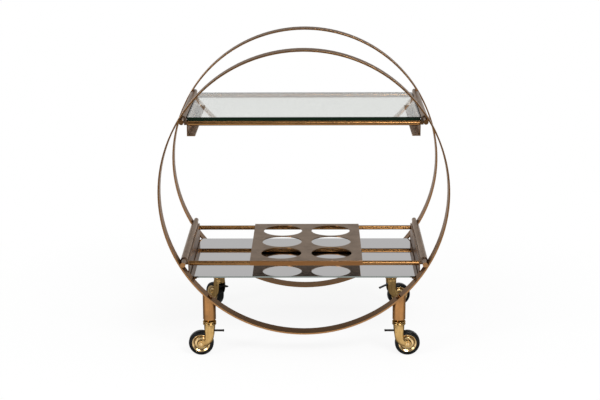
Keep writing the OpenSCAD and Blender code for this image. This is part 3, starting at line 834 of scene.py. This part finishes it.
class TROLLEY_OT_studio(bpy.types.Operator):
    """Set up the pale floor, the soft lights, the room and the camera"""

    bl_idname = "trolley.studio"
    bl_label = "Studio"

    def execute(self, context):
        scene = context.scene
        studio = scene.trolley_studio
        self.floor(scene)
        self.lamp("key_softbox", (1.2, -2.8, 2.7), (1.7, 1.2), studio.key)
        self.lamp("fill_softbox", (-2.6, -2.4, 1.9), (1.0, 1.6), studio.fill)
        self.room(scene)
        self.camera(scene)
        scene.view_settings.view_transform = "Standard"
        return {"FINISHED"}

    def floor(self, scene):
        """A wide plain floor that keeps the trolley's shadow."""
        mesh = bpy.data.meshes.new("studio_floor")
        corners = ((-1, -1), (1, -1), (1, 1), (-1, 1))
        mesh.from_pydata(
            [(FLOOR_REACH * x, FLOOR_REACH * y, 0) for x, y in corners], [], [(0, 1, 2, 3)]
        )
        made, tree, out = new_material("matt_white_floor")
        paint = add(
            tree,
            "ShaderNodeBsdfPrincipled",
            {"Base Color": rgba(scene.trolley_colours.floor), "Roughness": 0.9},
        )
        # Seen straight, in metal or through glass, the floor fades into a white background
        # away from the trolley and keeps a soft shadow under it
        path = add(tree, "ShaderNodeLightPath").outputs
        sight = maths(tree, "ADD", path["Is Camera Ray"], path["Is Glossy Ray"])
        seen = maths(tree, "ADD", sight, path["Is Transmission Ray"], clamp=True)
        where = add(tree, "ShaderNodeTexCoord").outputs["Object"]
        near = blend(tree, path["Is Glossy Ray"], WHITE_UNDER, 1.0)
        fade = ramp(
            tree, size_of(tree, where), *FADE, near, 1.0, interpolation_type="SMOOTHSTEP"
        )
        # In metal the floor glows with painted light and shadow
        glow = add(
            tree,
            "ShaderNodeEmission",
            {"Color": (1, 1, 1, 1), "Strength": self.painted_floor_glow(tree, where, path)},
        )
        both = add(
            tree,
            "ShaderNodeMixShader",
            {0: maths(tree, "MULTIPLY", seen, fade), 1: paint.outputs[0], 2: glow.outputs[0]},
        )
        tree.links.new(both.outputs[0], out.inputs["Surface"])
        mesh.materials.append(made)
        floor = bpy.data.objects.new("studio_floor", mesh)
        scene.collection.objects.link(floor)

    def painted_floor_glow(self, tree, where, path):
        """The paper floor's brightness: plain white, but metal sees a painted glow on it: painted
        shadow under the trolley, light behind it and a painted band of lamp light in front."""
        along = apart(tree, where)["Y"]
        behind = ramp(tree, along, *PAPER_BEHIND, PAPER_DIM, 1.0)
        band = ramp(tree, along, *PAPER_BAND, behind, PAPER_LIT)
        ahead = ramp(tree, along, *PAPER_AHEAD, PAPER_DARK, band)
        in_metal = maths(
            tree, "SUBTRACT", path["Is Glossy Ray"], path["Is Transmission Ray"], clamp=True
        )
        return blend(tree, in_metal, 1.0, ahead)

    def lamp(self, name, place, size, power):
        """One rectangular soft lamp aimed at the trolley."""
        data = bpy.data.lights.new(name, "AREA")
        data.shape = "RECTANGLE"
        data.size, data.size_y = size
        data.energy = power
        lamp = bpy.data.objects.new(name, data)
        lamp.location = place
        aim = Vector((0, MIDDLE_Y, HOOP_CENTRE_Z)) - Vector(place)
        lamp.rotation_euler = aim.to_track_quat("-Z", "Y").to_euler()
        bpy.context.scene.collection.objects.link(lamp)

    def room(self, scene):
        """A white room: what looks at it sees white, polished metal sees it dimmer in front and
        overhead, and it lights evenly."""
        world = bpy.data.worlds.new("white_room")
        world.use_nodes = True
        tree = world.node_tree
        tree.nodes.clear()
        path = add(tree, "ShaderNodeLightPath").outputs
        way = apart(tree, add(tree, "ShaderNodeTexCoord").outputs["Generated"])
        walls = ramp(tree, way["Y"], *WALLS, WALL_AHEAD, WALL_BEHIND)
        horizon = ramp(tree, way["Z"], *HORIZON)
        in_metal = blend(tree, horizon, walls, WALL_FOOT)
        light = blend(tree, path["Is Glossy Ray"], scene.trolley_studio.room, in_metal)
        sight = maths(tree, "MAXIMUM", path["Is Camera Ray"], path["Is Transmission Ray"])
        strength = blend(tree, sight, light, 1.0)
        back = add(
            tree, "ShaderNodeBackground", {"Color": (1, 1, 1, 1), "Strength": strength}
        )
        out = add(tree, "ShaderNodeOutputWorld")
        tree.links.new(back.outputs[0], out.inputs["Surface"])
        scene.world = world

    def camera(self, scene):
        """The camera where the photographer's stood."""
        studio = scene.trolley_studio
        data = bpy.data.cameras.new("camera")
        data.sensor_width = 36
        data.lens = studio.lens
        data.clip_end = 200
        camera = bpy.data.objects.new("camera", data)
        ahead = Vector(
            (
                math.sin(studio.yaw) * math.cos(studio.pitch),
                math.cos(studio.yaw) * math.cos(studio.pitch),
                -math.sin(studio.pitch),
            )
        )
        right = Vector((math.cos(studio.yaw), -math.sin(studio.yaw), 0))
        up = right.cross(ahead)
        turned_right = math.cos(studio.roll) * right + math.sin(studio.roll) * up
        turned_up = -math.sin(studio.roll) * right + math.cos(studio.roll) * up
        turn = Matrix((turned_right, turned_up, -ahead)).transposed().to_4x4()
        camera.matrix_world = Matrix.Translation(Vector(studio.place)) @ turn
        scene.collection.objects.link(camera)
        scene.camera = camera


OPERATORS = (
    TROLLEY_OT_hoops,
    TROLLEY_OT_side_bars,
    TROLLEY_OT_shelf_frames,
    TROLLEY_OT_glass_top,
    TROLLEY_OT_mirror_shelf,
    TROLLEY_OT_bottle_rack,
    TROLLEY_OT_legs,
    TROLLEY_OT_casters,
    TROLLEY_OT_wheels,
    TROLLEY_OT_brakes,
    TROLLEY_OT_screws,
    TROLLEY_OT_studio,
)


class TROLLEY_PT_panel(bpy.types.Panel):
    """Lists the trolley's pieces and the studio"""

    bl_idname = "TROLLEY_PT_panel"
    bl_label = "Dessert trolley"
    bl_space_type = "VIEW_3D"
    bl_region_type = "UI"
    bl_category = "Trolley"

    def draw(self, context):
        for operator in OPERATORS:
            self.layout.operator(operator.bl_idname)
        for group in ("trolley_colours", "trolley_sizes", "trolley_studio"):
            settings = getattr(context.scene, group)
            box = self.layout.box()
            for name in settings.bl_rna.properties.keys():
                if name not in ("rna_type", "name"):
                    box.prop(settings, name)


CLASSES = (TrolleyColours, TrolleySizes, TrolleyStudio, *OPERATORS, TROLLEY_PT_panel)


def register():
    for made in CLASSES:
        bpy.utils.register_class(made)
    bpy.types.Scene.trolley_colours = bpy.props.PointerProperty(type=TrolleyColours)
    bpy.types.Scene.trolley_sizes = bpy.props.PointerProperty(type=TrolleySizes)
    bpy.types.Scene.trolley_studio = bpy.props.PointerProperty(type=TrolleyStudio)


def unregister():
    del bpy.types.Scene.trolley_studio
    del bpy.types.Scene.trolley_sizes
    del bpy.types.Scene.trolley_colours
    for made in reversed(CLASSES):
        bpy.utils.unregister_class(made)


def main():
    register()
    for operator in OPERATORS:
        group, name = operator.bl_idname.split(".")
        getattr(getattr(bpy.ops, group), name)()


if __name__ == "__main__":
    main()
